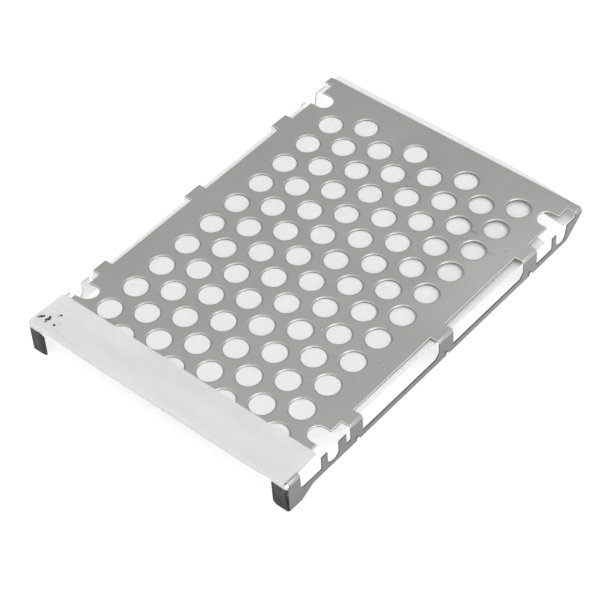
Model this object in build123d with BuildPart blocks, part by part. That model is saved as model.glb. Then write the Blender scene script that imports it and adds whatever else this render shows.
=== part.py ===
"""Caddy for a 2.5-inch drive: a folded, perforated steel frame with an insulating film.

Millimetres. +Z is up, +Y points to the rear, where the drive's connector is, and +X is
the right-hand side. Z is zero at the bottom of the two feet, and X and Y are zero in
the middle of the caddy, film included. Distances along the caddy are stations, counted
rearwards from the front edge of the plate, and depths are counted down from its top.
"""

from build123d import *
from math import asin, degrees
import os

os.makedirs("parts", exist_ok=True)

# The drive that the caddy holds, a standard size
drive_width = 69.85
screw_spacing = 76.6
screw_height = 3.0

# Sheet steel, its folds and the plate
sheet = 0.3
bend_inner = 0.4
side_clearance = 0.5
plate_length = 98.0
foot_depth = 8.05
rail_depth = 6.15
rail_height = 1.65
tab_reach = 2.33

# Perforations of the plate, with the margins left beside the outermost hole centres
hole_diameter = 5.5
row_count = 8
long_row_holes = 11
end_margin = 8.75
row_margin = 8.44

# Screw notches in the walls, and the slots above them in the plate
front_screw_station = 13.75
notch_width = 3.4
notch_lean = 0.5
slot_width = 4.2
slot_reach = 3.7

# Tabs that join the plate to the walls
middle_tab_station = 50.1
tab_pitch = 29.05
front_tab_width = 3.9
tab_width = 4.8
corner_tab_width = 2.3
bridge_width = 3.2
bridge_station = 2.2

# Fingers beside the screw notches, and the gaps round them
finger_depth = 1.15
front_finger_width = 1.95
second_finger_width = 2.4
rear_finger_width = 1.55
gap_depth = 4.0
shoulder_depth = 1.35
inner_corner = 0.9
gusset = 1.1

# Feet, end slopes and the hooks that stop the drive
foot_length = 3.8
foot_slope = 3.6
rear_slope = 5.5
rear_corner_depth = 1.8
rail_corner = 0.8
hook_reach = 4.3
hook_overhang = 0.3
hook_depth = 1.1
hook_corner_small = 0.4
hook_corner_large = 1.3

# Pressed dimples on the rails
dimple_radius = 0.85
dimple_rise = 0.3

# Insulating film
film = 0.15
film_rear_overhang = 1.8
film_side_gap = 0.8
strip_length = 9.7
strip_width = 70.4
strip_shift = 0.5
strip_corner = 1.0
film_notch_width = 6.7
film_notch_reach = 6.0
front_notch_margin = 3.05
rear_notch_margin = 2.35

# Worked out from the sizes above
half_width = drive_width / 2 + side_clearance + sheet
inner_half_width = half_width - sheet
bend_outer = bend_inner + sheet
plate_edge = half_width - tab_reach
plate_top = foot_depth
plate_under = plate_top - sheet
rail_bottom = plate_top - rail_depth
rail_top = rail_bottom + rail_height
rail_middle = rail_bottom + rail_height / 2
film_under = plate_under - film
screw_z = film_under - screw_height
rear_screw_station = front_screw_station + screw_spacing
notch_radius = notch_width / 2
slot_radius = slot_width / 2
hole_radius = hole_diameter / 2
hole_pitch = (plate_length - 2 * end_margin) / (long_row_holes - 1)
row_pitch = 2 * (plate_edge - row_margin) / (row_count - 1)
fold_radius = sheet / 2 + film
film_half_width = inner_half_width - film_side_gap
front_edge = fold_radius - (fold_radius + plate_length + film_rear_overhang) / 2
cut_top = plate_top + sheet
cut_depth = tab_reach + sheet
tabs = (
    (middle_tab_station - tab_pitch, front_tab_width),
    (middle_tab_station, tab_width),
    (middle_tab_station + tab_pitch, tab_width),
)


def station(distance):
    """Y of a point that lies this far behind the plate's front edge."""
    return front_edge + distance


def opening(start, end, floor):
    """Rectangle of a side sketch, from one station to another and open at the top."""
    with Locations((station((start + end) / 2), (floor + cut_top) / 2)):
        Rectangle(end - start, cut_top - floor)


def screw_notch(centre):
    """U-shaped notch of a side sketch, with its round bottom about the screw's axis."""
    with Locations((station(centre), screw_z)):
        Circle(notch_radius)
    opening(centre - notch_radius, centre + notch_radius, screw_z)


bridge_end = bridge_station + bridge_width / 2
bridge_start = bridge_station - bridge_width / 2
corner_tab_start = plate_length - corner_tab_width
front_finger_start = front_screw_station - notch_radius - front_finger_width
second_finger_end = front_screw_station + notch_radius + second_finger_width
rear_finger_start = rear_screw_station - notch_radius - rear_finger_width
tab_starts = [centre - width / 2 for centre, width in tabs]
tab_ends = [centre + width / 2 for centre, width in tabs]

# Folded frame: plate, bends and walls are one section, which the cuts then shape
with BuildPart() as caddy_frame:
    with BuildSketch(Plane.XZ.offset(-front_edge)):
        with BuildLine():
            FilletPolyline(
                (-half_width, 0),
                (-half_width, plate_top),
                (half_width, plate_top),
                (half_width, 0),
                radius=bend_outer,
            )
            offset(amount=sheet, side=Side.RIGHT)
        make_face()
    extrude(amount=-plate_length)

    # Perforations: rows of ten and of eleven holes by turns, half a pitch apart
    with BuildSketch(Plane.XY.offset(plate_under)):
        for row in range(row_count):
            row_x = (row - (row_count - 1) / 2) * row_pitch
            holes = long_row_holes - 1 if row % 2 == 0 else long_row_holes
            with Locations((row_x, station(plate_length / 2))):
                with GridLocations(row_pitch, hole_pitch, 1, holes):
                    Circle(hole_radius)
    extrude(amount=sheet, mode=Mode.SUBTRACT)

    # Slots in the plate's edge above each screw notch
    slot_centre = plate_edge - slot_reach + slot_radius
    slot_length = plate_edge + sheet - slot_centre
    with BuildSketch(Plane.XY.offset(plate_under)):
        for side in (-1, 1):
            for screw in (front_screw_station, rear_screw_station):
                with Locations((side * slot_centre, station(screw))):
                    Circle(slot_radius)
                with Locations((side * (slot_centre + slot_length / 2), station(screw))):
                    Rectangle(slot_length, slot_width)
    extrude(amount=sheet, mode=Mode.SUBTRACT)

    # Windows, fingers and notches, cut through the plate's margin, bend and wall at once
    for side in (-1, 1):
        side_plane = Plane.YZ.offset(side * plate_edge)
        with BuildSketch(side_plane):
            opening(-hook_overhang, bridge_start, plate_top - hook_depth)
            opening(bridge_end, tab_starts[0], plate_top - finger_depth)
            screw_notch(front_screw_station)
            opening(second_finger_end, tab_starts[0], plate_top - gap_depth)
        with BuildSketch(side_plane) as front_gap:
            opening(bridge_end, front_finger_start, rail_top)
            lower_corners = front_gap.vertices().group_by(Axis.Y)[0]
            fillet(lower_corners.sort_by(Axis.X)[0], inner_corner)
        for start, end in zip(tab_ends[:2], tab_starts[1:]):
            with BuildSketch(side_plane) as window:
                opening(start, end, rail_top)
                lower_corners = window.vertices().group_by(Axis.Y)[0]
                chamfer(lower_corners.sort_by(Axis.X)[-1], gusset)
        with BuildSketch(side_plane):
            opening(tab_ends[2], corner_tab_start, plate_top - shoulder_depth)
            opening(tab_ends[2], rear_finger_start, rail_top)
            screw_notch(rear_screw_station)
            lean_start = station(rear_screw_station + notch_radius)
            lean_top = plate_top - shoulder_depth
            with BuildLine():
                Polyline(
                    (lean_start, screw_z),
                    (lean_start + notch_lean, lean_top),
                    (lean_start, lean_top),
                    close=True,
                )
            make_face()
        extrude(amount=side * cut_depth, mode=Mode.SUBTRACT)

    # Underside of the rails: the step up behind the feet and the slope at the rear
    for side in (-1, 1):
        with BuildSketch(Plane.YZ.offset(side * plate_edge)) as underside:
            with BuildLine():
                Polyline(
                    (station(foot_length), 0),
                    (station(foot_length + foot_slope), rail_bottom),
                    (station(plate_length - rear_slope), rail_bottom),
                    (station(plate_length), plate_top - rear_corner_depth),
                    (station(plate_length) + sheet, plate_top - rear_corner_depth),
                    (station(plate_length) + sheet, -sheet),
                    (station(foot_length), -sheet),
                    close=True,
                )
            make_face()
            fillet(underside.vertices().group_by(Axis.Y)[2], rail_corner)
        extrude(amount=side * cut_depth, mode=Mode.SUBTRACT)

    # Hooks: the walls' front ends, folded inward in front of the drive
    hook_face = front_edge - hook_overhang
    fold_end = hook_face + bend_outer
    hook_height = plate_top - hook_depth
    hook_start = half_width - bend_outer
    hook_end = half_width - hook_reach
    with Locations((half_width, front_edge, 0), (-half_width, front_edge, 0)):
        Box(2 * tab_reach, 2 * (fold_end - front_edge), 2 * hook_height, mode=Mode.SUBTRACT)
    for side, top_corner, bottom_corner in (
        (1, hook_corner_small, hook_corner_large),
        (-1, hook_corner_large, hook_corner_small),
    ):
        with BuildSketch(Plane.XY):
            with Locations((side * hook_start, fold_end)):
                Circle(bend_outer)
                Circle(bend_inner, mode=Mode.SUBTRACT)
            with Locations((side * (hook_start + bend_outer / 2), fold_end - bend_outer / 2)):
                Rectangle(bend_outer, bend_outer, mode=Mode.INTERSECT)
        extrude(amount=hook_height)
        with BuildSketch(Plane.XZ.offset(-hook_face)) as hook:
            with Locations((side * (hook_start + hook_end) / 2, hook_height / 2)):
                Rectangle(hook_start - hook_end, hook_height)
            for level, radius in ((0, bottom_corner), (-1, top_corner)):
                corners = hook.vertices().group_by(Axis.Y)[level]
                fillet(corners.sort_by(Axis.X, reverse=side < 0)[0], radius)
        extrude(amount=-sheet)

    # Dimples pressed outward in the rail below each tab
    dimple_sphere = (dimple_radius**2 + dimple_rise**2) / (2 * dimple_rise)
    dimple_angle = degrees(asin(dimple_radius / dimple_sphere))
    for side in (-1, 1):
        for centre, width in tabs:
            middle = Vector(side * half_width, station(centre), rail_middle)
            with Locations(Location(middle, (0, 90, 0))):
                Cylinder(dimple_radius, 3 * sheet, mode=Mode.SUBTRACT)
            with BuildSketch(Plane(middle, x_dir=(side, 0, 0), z_dir=(0, -side, 0))):
                with BuildLine():
                    outside = CenterArc(
                        (dimple_rise - dimple_sphere, 0), dimple_sphere, 0, dimple_angle
                    )
                    inside = CenterArc(
                        (dimple_rise - dimple_sphere - sheet, 0), dimple_sphere, 0, dimple_angle
                    )
                    Line(outside @ 0, inside @ 0)
                    Line(outside @ 1, inside @ 1)
                make_face()
            revolve(axis=Axis(middle, (1, 0, 0)))
caddy_frame.part.label = "caddy_frame"
export_step(caddy_frame.part, "parts/caddy_frame.step")

# Insulating film: a strip on the plate, folded round its front edge and back under it
film_rear = station(plate_length + film_rear_overhang)
fold_front = front_edge - fold_radius
with BuildPart() as insulator_film:
    with BuildSketch(Plane.XY.offset(film_under)):
        with Locations((0, (front_edge + film_rear) / 2)):
            Rectangle(2 * film_half_width, film_rear - front_edge)
        for screw, rear_margin in (
            (front_screw_station, front_notch_margin),
            (rear_screw_station, rear_notch_margin),
        ):
            film_notch_y = station(screw + rear_margin - film_notch_width / 2)
            with Locations((-film_half_width, film_notch_y), (film_half_width, film_notch_y)):
                Rectangle(2 * film_notch_reach, film_notch_width, mode=Mode.SUBTRACT)
    extrude(amount=film)
    with BuildSketch(Plane.XY.offset(plate_top)) as strip:
        with Locations((-strip_shift, station(strip_length / 2))):
            Rectangle(strip_width, strip_length)
        fillet(strip.vertices().group_by(Axis.Y)[-1], strip_corner)
    extrude(amount=film)
    with BuildSketch(Plane.YZ.offset(-strip_shift)):
        with Locations((front_edge, plate_under + sheet / 2)):
            Circle(fold_radius)
            Circle(sheet / 2, mode=Mode.SUBTRACT)
        with Locations((front_edge - fold_radius, plate_under + sheet / 2)):
            Rectangle(2 * fold_radius, 2 * fold_radius, mode=Mode.INTERSECT)
    extrude(amount=strip_width / 2, both=True)
    with BuildSketch(Plane.XY.offset(film_under)) as outline:
        with Locations((-strip_shift, (fold_front + film_rear) / 2)):
            Rectangle(strip_width, film_rear - fold_front)
        fillet(outline.vertices().group_by(Axis.Y)[0], strip_corner)
    extrude(amount=2 * fold_radius, mode=Mode.INTERSECT)
insulator_film.part.label = "insulator_film"
export_step(insulator_film.part, "parts/insulator_film.step")
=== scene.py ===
"""Laptop drive caddy: the folded steel frame and its insulating film, dressed and lit.

Sizes are in millimetres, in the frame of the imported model: +Z is up, +Y points to the rear
and +X to the right. A finished mesh is brought to metres as the last step of its making.
"""

import functools
import logging
import math
from collections.abc import Callable, Iterable
from dataclasses import dataclass
from enum import Enum

import bmesh
import bpy
import numpy as np
from mathutils import Matrix, Vector

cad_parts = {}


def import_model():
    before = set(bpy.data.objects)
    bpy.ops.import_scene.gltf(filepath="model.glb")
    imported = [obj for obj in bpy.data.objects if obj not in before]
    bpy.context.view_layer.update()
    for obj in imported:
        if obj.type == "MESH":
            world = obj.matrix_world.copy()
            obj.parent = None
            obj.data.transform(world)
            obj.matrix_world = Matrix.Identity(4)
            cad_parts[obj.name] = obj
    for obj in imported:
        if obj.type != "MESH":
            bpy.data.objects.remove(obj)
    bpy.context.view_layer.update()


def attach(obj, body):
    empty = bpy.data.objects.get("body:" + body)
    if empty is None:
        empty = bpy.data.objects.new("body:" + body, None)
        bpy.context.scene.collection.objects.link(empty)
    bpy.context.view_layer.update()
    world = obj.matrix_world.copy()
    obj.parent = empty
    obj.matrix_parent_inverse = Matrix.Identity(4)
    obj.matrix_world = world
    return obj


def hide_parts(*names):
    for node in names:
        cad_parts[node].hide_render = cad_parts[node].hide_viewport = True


log = logging.getLogger("drive_caddy")

METRE = 0.001

Point = tuple[float, float]
Triple = tuple[float, float, float]
Colour = tuple[float, float, float, float]

# The plate's front edge, and the heights of the plate's and the strip's top faces
FRONT_EDGE = -49.75
PLATE_TOP = 8.05
STRIP_TOP = 8.2

# The left front corner stands out of true: how far it is moved and where the shift sets in
LEFT_FRONT_SHIFT: Point = (-0.25, -0.45)
SHIFT_START = -29.5
SHIFT_WIDTH = 4.0
SHIFT_STEPS = 5

# Fineness of the shapes, with angles in degrees
ARC_STEP = 9.0
SHARP_ANGLE = 35.0
SAME_PLACE = 1e-4
ROUND_END = 0.999

# Small marks: how far their outlines wander, and the share of the radius that is full
STIR_REACH = 0.3
MARK_CORE = 0.6

# Types of a geometry tree's inputs, by the type of what they are given
SOCKET_TYPES = {
    bpy.types.Object: "NodeSocketObject",
    bpy.types.Material: "NodeSocketMaterial",
    int: "NodeSocketInt",
    float: "NodeSocketFloat",
    tuple: "NodeSocketVector",
}


class Along(Enum):
    """The direction in which a flat outline is pushed out into a solid."""

    X = (1, 2, 0)
    Y = (0, 2, 1)
    Z = (0, 1, 2)


class BooleanKind(Enum):
    """What a boolean modifier does with the second shape."""

    ADD = "UNION"
    CUT = "DIFFERENCE"


def link_mesh(name: str, mesh: bpy.types.Mesh) -> bpy.types.Object:
    """Puts a mesh into the scene as an object.

    Args:
        name: name of the object and of its mesh.
        mesh: the mesh that it shows.

    Returns:
        The new object, at the origin.
    """
    mesh.name = name
    made = bpy.data.objects.new(name, mesh)
    bpy.context.scene.collection.objects.link(made)
    return made


def discard(*objects: bpy.types.Object) -> None:
    """Removes helper objects and their meshes.

    Args:
        *objects: the helpers.
    """
    for helper in objects:
        mesh = helper.data
        bpy.data.objects.remove(helper)
        bpy.data.meshes.remove(mesh)


def settled(source: bpy.types.Object, name: str) -> bpy.types.Object:
    """Turns an object with modifiers into a plain one, and removes the first.

    Args:
        source: object whose modifiers are to be applied.
        name: name of the plain object.

    Returns:
        A new object without modifiers.
    """
    graph = bpy.context.evaluated_depsgraph_get()
    mesh = bpy.data.meshes.new_from_object(source.evaluated_get(graph))
    source.modifiers.clear()
    discard(source)
    return link_mesh(name, mesh)


def from_shape(name: str, shape: bmesh.types.BMesh) -> bpy.types.Object:
    """Turns an edited shape into an object and frees the shape.

    Args:
        name: name of the object.
        shape: the shape.

    Returns:
        The object, at the origin.
    """
    mesh = bpy.data.meshes.new(name)
    shape.to_mesh(mesh)
    shape.free()
    return link_mesh(name, mesh)


def rounded(corners: Iterable[Triple]) -> list[Point]:
    """Rounds the corners of a closed outline.

    Args:
        corners: the corners as (first, second, radius).

    Returns:
        The outline's points, in the same order.
    """
    listed = list(corners)
    outline: list[Point] = []
    for index, (first, second, radius) in enumerate(listed):
        here = Vector((first, second))
        if radius <= 0:
            outline.append((first, second))
            continue
        back = (Vector(listed[index - 1][:2]) - here).normalized()
        ahead = (Vector(listed[(index + 1) % len(listed)][:2]) - here).normalized()
        half = back.angle(ahead) / 2
        centre = here + (back + ahead).normalized() * radius / math.sin(half)
        start = here + back * radius / math.tan(half) - centre
        end = here + ahead * radius / math.tan(half) - centre
        turn = start.angle_signed(end)
        count = max(2, math.ceil(abs(math.degrees(turn)) / ARC_STEP))
        for part in range(count + 1):
            spoke = start.copy()
            spoke.rotate(Matrix.Rotation(-turn * part / count, 2))
            outline.append((centre.x + spoke.x, centre.y + spoke.y))
    return outline


def prism(
    name: str, outline: list[Point], along: Along, low: float, high: float
) -> bpy.types.Object:
    """Pushes a flat outline out into a closed solid.

    Args:
        name: name of the object.
        outline: points in the two directions across the push.
        along: direction of the push.
        low: where the solid starts.
        high: where it ends.

    Returns:
        The solid as an object.
    """
    first, second, third = along.value
    shape = bmesh.new()
    rings = []
    for level in (low, high):
        ring = []
        for a, b in outline:
            place = [0.0, 0.0, 0.0]
            place[first], place[second], place[third] = a, b, level
            ring.append(shape.verts.new(place))
        rings.append(ring)
    shape.faces.new(rings[0])
    shape.faces.new(reversed(rings[1]))
    for index in range(len(outline)):
        after = (index + 1) % len(outline)
        shape.faces.new((rings[0][index], rings[1][index], rings[1][after], rings[0][after]))
    bmesh.ops.remove_doubles(shape, verts=shape.verts, dist=SAME_PLACE)
    bmesh.ops.recalc_face_normals(shape, faces=shape.faces)
    return from_shape(name, shape)


def lathe(name: str, profile: list[Point], segments: int) -> bpy.types.Object:
    """Turns a profile about the Z axis into a closed solid.

    Args:
        name: name of the object.
        profile: (radius, height) from the bottom to the top, none of them on the axis.
        segments: number of steps of the turn.

    Returns:
        The solid as an object.
    """
    shape = bmesh.new()
    rings = []
    turns = [2 * math.pi * step / segments for step in range(segments)]
    for radius, height in profile:
        places = [(radius * math.cos(turn), radius * math.sin(turn), height) for turn in turns]
        rings.append([shape.verts.new(place) for place in places])
    for lower, upper in zip(rings, rings[1:]):
        for step in range(segments):
            after = (step + 1) % segments
            shape.faces.new((lower[step], lower[after], upper[after], upper[step]))
    shape.faces.new(reversed(rings[0]))
    shape.faces.new(rings[-1])
    return from_shape(name, shape)


def combined(
    body: bpy.types.Object, other: bpy.types.Object, kind: BooleanKind
) -> bpy.types.Object:
    """Adds one solid to another or cuts it away.

    Args:
        body: the solid that is kept.
        other: the solid that is added or cut away, and then removed.
        kind: which of the two.

    Returns:
        The result, under the body's name.
    """
    step = body.modifiers.new("shape", "BOOLEAN")
    step.operation = kind.value
    step.solver = "EXACT"
    step.use_self = True
    step.object = other
    made = settled(body, body.name)
    discard(other)
    return made


class Bench:
    """Adds nodes to one tree, for a material, the world or a geometry group."""

    def __init__(self, tree: bpy.types.NodeTree) -> None:
        """Starts with a tree and leaves what is in it."""
        self.tree = tree

    def feed(self, socket: bpy.types.NodeSocket, value: object) -> None:
        """Links a socket, or sets its number, colour or choice.

        Args:
            socket: the input that is fed.
            value: a term or an output to link, or else the value to set.
        """
        if isinstance(value, Term):
            value = value.socket
        if isinstance(value, bpy.types.NodeSocket):
            self.tree.links.new(value, socket)
        else:
            socket.default_value = value

    def node(
        self,
        kind: str,
        settings: dict[str, object] | None = None,
        sockets: dict[str | int, object] | None = None,
    ) -> bpy.types.Node:
        """Adds one node.

        Args:
            kind: the node's type.
            settings: its own settings, which are set before the sockets.
            sockets: values or links of its inputs, by name or number.

        Returns:
            The node.
        """
        made = self.tree.nodes.new(kind)
        for name, value in (settings or {}).items():
            setattr(made, name, value)
        for key, value in (sockets or {}).items():
            self.feed(made.inputs[key], value)
        return made

    def term(
        self,
        kind: str,
        output: str | int = 0,
        settings: dict[str, object] | None = None,
        sockets: dict[str | int, object] | None = None,
    ) -> "Term":
        """Adds one node and returns one of its outputs as a term."""
        return Term(self, self.node(kind, settings, sockets).outputs[output])

    def vector(self, operation: str, first: object, second: object) -> "Term":
        """Adds a Vector Math node that gives a vector."""
        return self.term(
            "ShaderNodeVectorMath", 0, {"operation": operation}, {0: first, 1: second}
        )

    def number(self, operation: str, first: object, second: object) -> "Term":
        """Adds a Vector Math node that gives a number."""
        return self.term(
            "ShaderNodeVectorMath", "Value", {"operation": operation}, {0: first, 1: second}
        )

    def noise(self, place: "Term", scale: float, detail: float, output: str = "Fac") -> "Term":
        """Adds a noise that varies over a place."""
        sockets = {"Vector": place, "Scale": scale, "Detail": detail}
        return self.term("ShaderNodeTexNoise", output, sockets=sockets)

    def bumped(self, height: "Term", strength: float, distance: float) -> "Term":
        """Adds a bump that is this many metres high at full strength."""
        sockets = {"Height": height, "Strength": strength, "Distance": distance}
        return self.term("ShaderNodeBump", "Normal", sockets=sockets)

    def blend(self, factor: object, low: object, high: object) -> "Term":
        """Mixes two colours, from low at 0 to high at 1."""
        return self.term(
            "ShaderNodeMix", 2, {"data_type": "RGBA"}, {0: factor, 6: low, 7: high}
        )

    def ramp(self, value: "Term", low: float, high: float) -> "Term":
        """Smoothly maps a value to 0 at low and 1 at high."""
        return self.term(
            "ShaderNodeMapRange",
            0,
            {"interpolation_type": "SMOOTHSTEP"},
            {"Value": value, "From Min": low, "From Max": high},
        )


class Term:
    """One output socket that takes part in sums: an operator adds its Math node."""

    def __init__(self, bench: Bench, socket: bpy.types.NodeSocket) -> None:
        """Wraps a socket of the bench's tree."""
        self.bench = bench
        self.socket = socket

    def _math(self, operation: str, first: object, second: object) -> "Term":
        """Adds the Math node of an operation."""
        return self.bench.term(
            "ShaderNodeMath", 0, {"operation": operation}, {0: first, 1: second}
        )

    def __add__(self, other: object) -> "Term":
        """Sum."""
        return self._math("ADD", self, other)

    def __radd__(self, other: object) -> "Term":
        """Sum, the other way round."""
        return self._math("ADD", other, self)

    def __sub__(self, other: object) -> "Term":
        """Difference."""
        return self._math("SUBTRACT", self, other)

    def __rsub__(self, other: object) -> "Term":
        """Difference, the other way round."""
        return self._math("SUBTRACT", other, self)

    def __mul__(self, other: object) -> "Term":
        """Product."""
        return self._math("MULTIPLY", self, other)

    def __rmul__(self, other: object) -> "Term":
        """Product, the other way round."""
        return self._math("MULTIPLY", other, self)

    def __abs__(self) -> "Term":
        """Value without its sign."""
        return self._math("ABSOLUTE", self, 0.0)

    def larger(self, other: object) -> "Term":
        """The larger of the two."""
        return self._math("MAXIMUM", self, other)


class ShapeTree(Bench):
    """Bench for a geometry tree that works on a frame and gives it back in one finish."""

    def __init__(self, name: str, values: dict[str, object]) -> None:
        """Starts the tree with its inputs and its output.

        Args:
            name: name of the tree.
            values: what its inputs besides the frame are given, by name.
        """
        super().__init__(bpy.data.node_groups.new(name, "GeometryNodeTree"))
        self.values = values
        new_socket = self.tree.interface.new_socket
        new_socket("Frame", in_out="INPUT", socket_type="NodeSocketGeometry")
        for title, value in values.items():
            new_socket(title, in_out="INPUT", socket_type=SOCKET_TYPES[type(value)])
        new_socket("Frame", in_out="OUTPUT", socket_type="NodeSocketGeometry")
        self.given = self.node("NodeGroupInput").outputs

    def stamps(self, tool: str, spots: Iterable[tuple[Term, float]]) -> Term:
        """Sets copies of a tool on points.

        Args:
            tool: name of the input that holds the tool.
            spots: points, each with the tool's turn about the Y axis.

        Returns:
            All copies as real geometry.
        """
        source = self.term(
            "GeometryNodeObjectInfo", "Geometry", sockets={"Object": self.given[tool]}
        )
        joined = self.node("GeometryNodeJoinGeometry")
        for points, turn in spots:
            sockets = {"Points": points, "Instance": source, "Rotation": (0.0, turn, 0.0)}
            placed = self.term("GeometryNodeInstanceOnPoints", sockets=sockets)
            self.feed(joined.inputs[0], placed)
        return self.term("GeometryNodeRealizeInstances", sockets={0: joined.outputs[0]})

    def combine(self, kind: BooleanKind, body: object, tool: Term) -> Term:
        """Adds a tool to a body or cuts it away.

        Args:
            kind: which of the two.
            body: the geometry that is kept.
            tool: the geometry that is added or cut away.

        Returns:
            The result.
        """
        made = self.node("GeometryNodeMeshBoolean", {"operation": kind.value, "solver": "EXACT"})
        self.feed(made.inputs["Mesh 2" if kind is BooleanKind.ADD else "Mesh 1"], body)
        self.feed(made.inputs["Mesh 2"], tool)
        return Term(self, made.outputs[0])

    def close(self, result: Term) -> None:
        """Ends the tree with real geometry in the finish that is given.

        Args:
            result: what the tree has made.
        """
        real = self.term("GeometryNodeRealizeInstances", sockets={0: result})
        dressed = self.term(
            "GeometryNodeSetMaterial",
            sockets={"Geometry": real, "Material": self.given["Finish"]},
        )
        self.feed(self.node("NodeGroupOutput").inputs[0], dressed)

    def run(self, piece: bpy.types.Object) -> bpy.types.Object:
        """Runs the tree on a piece and keeps the result as a plain mesh.

        Args:
            piece: the piece that the tree works on.

        Returns:
            The piece without modifiers.
        """
        step = piece.modifiers.new(self.tree.name, "NODES")
        step.node_group = self.tree
        for item in self.tree.interface.items_tree:
            if item.in_out == "INPUT" and item.name in self.values:
                step[item.identifier] = self.values[item.name]
        return settled(piece, piece.name)


def stirred(bench: Bench, place: Term, scale: float) -> Term:
    """Shifts places a little and at random, which makes the edges of marks irregular.

    Args:
        bench: bench of the material.
        place: place on the piece.
        scale: scale of the noise that shifts it.

    Returns:
        The shifted place.
    """
    noise = bench.noise(place, scale, 2.0, "Color")
    reach = STIR_REACH * METRE
    shift = bench.term(
        "ShaderNodeVectorMath",
        0,
        {"operation": "MULTIPLY_ADD"},
        {0: noise, 1: (2 * reach, 2 * reach, 0.0), 2: (-reach, -reach, 0.0)},
    )
    return bench.vector("ADD", place, shift)


def marked(bench: Bench, place: Term, marks: tuple[Triple, ...], height: float) -> Term:
    """Masks small marks on a level face.

    Args:
        bench: bench of the material.
        place: the stirred place on the piece.
        marks: x, y and radius of each, in millimetres.
        height: height of the face.

    Returns:
        A mask that is 1 inside a mark.
    """
    spots = []
    for x, y, radius in marks:
        middle = (x * METRE, y * METRE, height * METRE)
        away = bench.number("DISTANCE", place, middle)
        spots.append(1.0 - bench.ramp(away, radius * MARK_CORE * METRE, radius * METRE))
    return functools.reduce(Term.larger, spots)


def blank_finish(name: str) -> tuple[bpy.types.Material, Bench, bpy.types.NodeInputs]:
    """Starts a material.

    Args:
        name: name of the material.

    Returns:
        The material, the bench of its tree and the inputs of its surface node.
    """
    material = bpy.data.materials.new(name)
    material.use_nodes = True
    skin = material.node_tree.nodes["Principled BSDF"]
    return material, Bench(material.node_tree), skin.inputs


@dataclass(frozen=True)
class SatinSteel:
    """Thin plated sheet steel with a fine, even satin grain, darkened with painted shade on the
    walls below the plate's top and in a painted dark band at the bends' height.
    """

    name: str = "satin_steel"
    colour: Colour = (0.56, 0.56, 0.557, 1.0)
    low_tone_colour: Colour = (0.5, 0.498, 0.494, 1.0)
    tone_range: Point = (0.35, 0.65)
    wall_shade: float = 0.36
    wall_top: float = 7.62
    wall_blend: float = 0.15
    bend_shade_line: float = 7.8
    bend_shade_half: float = 0.09
    bend_shade_share: float = 0.5
    scuffs: tuple[Triple, ...] = ()
    glints: tuple[Triple, ...] = ()
    scuff_noise: float = 1100.0
    scuff_shade: float = 0.24
    glint_gain: float = 0.35
    # Painted highlight: a broad sheen over the plate's right rear.
    sheen_gain: float = 0.2
    sheen_middle: Point = (32.0, 24.0)
    sheen_reach: Point = (12.0, 26.0)
    sheen_fade: Point = (0.2, 1.2)
    roughness: float = 0.33
    roughness_spread: float = 0.1
    cloud_scale: float = 70.0
    cloud_detail: float = 4.0
    cloud_shape: Triple = (1.0, 1.0, 1.0)
    grain_scale: float = 2600.0
    grain_detail: float = 3.0
    grain_depth: float = 0.000004
    grain_strength: float = 0.35

    def build(self) -> bpy.types.Material:
        """Makes the material.

        Returns:
            A metal whose colour, roughness and bump vary with the grain, and whose colour carries
            painted shade on the walls and at the bends' height.
        """
        material, bench, skin = blank_finish(self.name)
        place = bench.term("ShaderNodeTexCoord", "Object")
        grain = bench.noise(place, self.grain_scale, self.grain_detail)
        drawn = bench.vector("MULTIPLY", place, self.cloud_shape)
        cloud = bench.noise(drawn, self.cloud_scale, self.cloud_detail)
        tone = bench.ramp(grain * 0.5 + cloud * 0.5, *self.tone_range)
        outer = bench.blend(tone, self.low_tone_colour, self.colour)
        # Painted shade: the colour is darkened below the plate's top, where the walls stand, and
        # in a thin band at the bends' height.
        level = bench.term("ShaderNodeSeparateXYZ", "Z", sockets={0: place})
        below = bench.ramp(self.wall_top * METRE - level, 0.0, self.wall_blend * METRE)
        wall = 1.0 - below * (1.0 - self.wall_shade)
        off_bend_shade = abs(level - self.bend_shade_line * METRE)
        bend_shade = 1.0 - bench.ramp(off_bend_shade, 0.0, self.bend_shade_half * METRE)
        share = wall * (1.0 - bend_shade * self.bend_shade_share)
        # Scuffs and glints on the plate, with a painted sheen.
        if self.scuffs:
            share = share * self.wear_and_sheen(bench, place)
        shaded = bench.term(
            "ShaderNodeVectorMath", 0, {"operation": "SCALE"}, {0: outer, "Scale": share}
        )
        rough = (grain - 0.5) * self.roughness_spread + self.roughness
        bench.feed(skin["Base Color"], shaded)
        bench.feed(skin["Roughness"], rough)
        bench.feed(skin["Normal"], bench.bumped(grain, self.grain_strength, self.grain_depth))
        skin["Metallic"].default_value = 1.0
        return material

    def wear_and_sheen(self, bench: Bench, place: Term) -> Term:
        """Shades the plate's scuffs and glints, and paints a broad sheen, a painted highlight,
        over its right rear.

        Args:
            bench: bench of the material.
            place: place on the piece.

        Returns:
            What the colour is multiplied by.
        """
        loose = stirred(bench, place, self.scuff_noise)
        dark = marked(bench, loose, self.scuffs, PLATE_TOP) * self.scuff_shade
        light = marked(bench, loose, self.glints, PLATE_TOP) * self.glint_gain
        # Painted highlight: the sheen is brightest round sheen_middle and fades outward.
        wide = [1 / (reach * METRE) for reach in self.sheen_reach]
        middle = [at / reach for at, reach in zip(self.sheen_middle, self.sheen_reach)]
        scaled = bench.vector("MULTIPLY", place, (*wide, 0.0))
        away = bench.number("DISTANCE", scaled, (*middle, 0.0))
        sheen = (1.0 - bench.ramp(away, *self.sheen_fade)) * self.sheen_gain
        return 1.0 - dark + light + sheen


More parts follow.
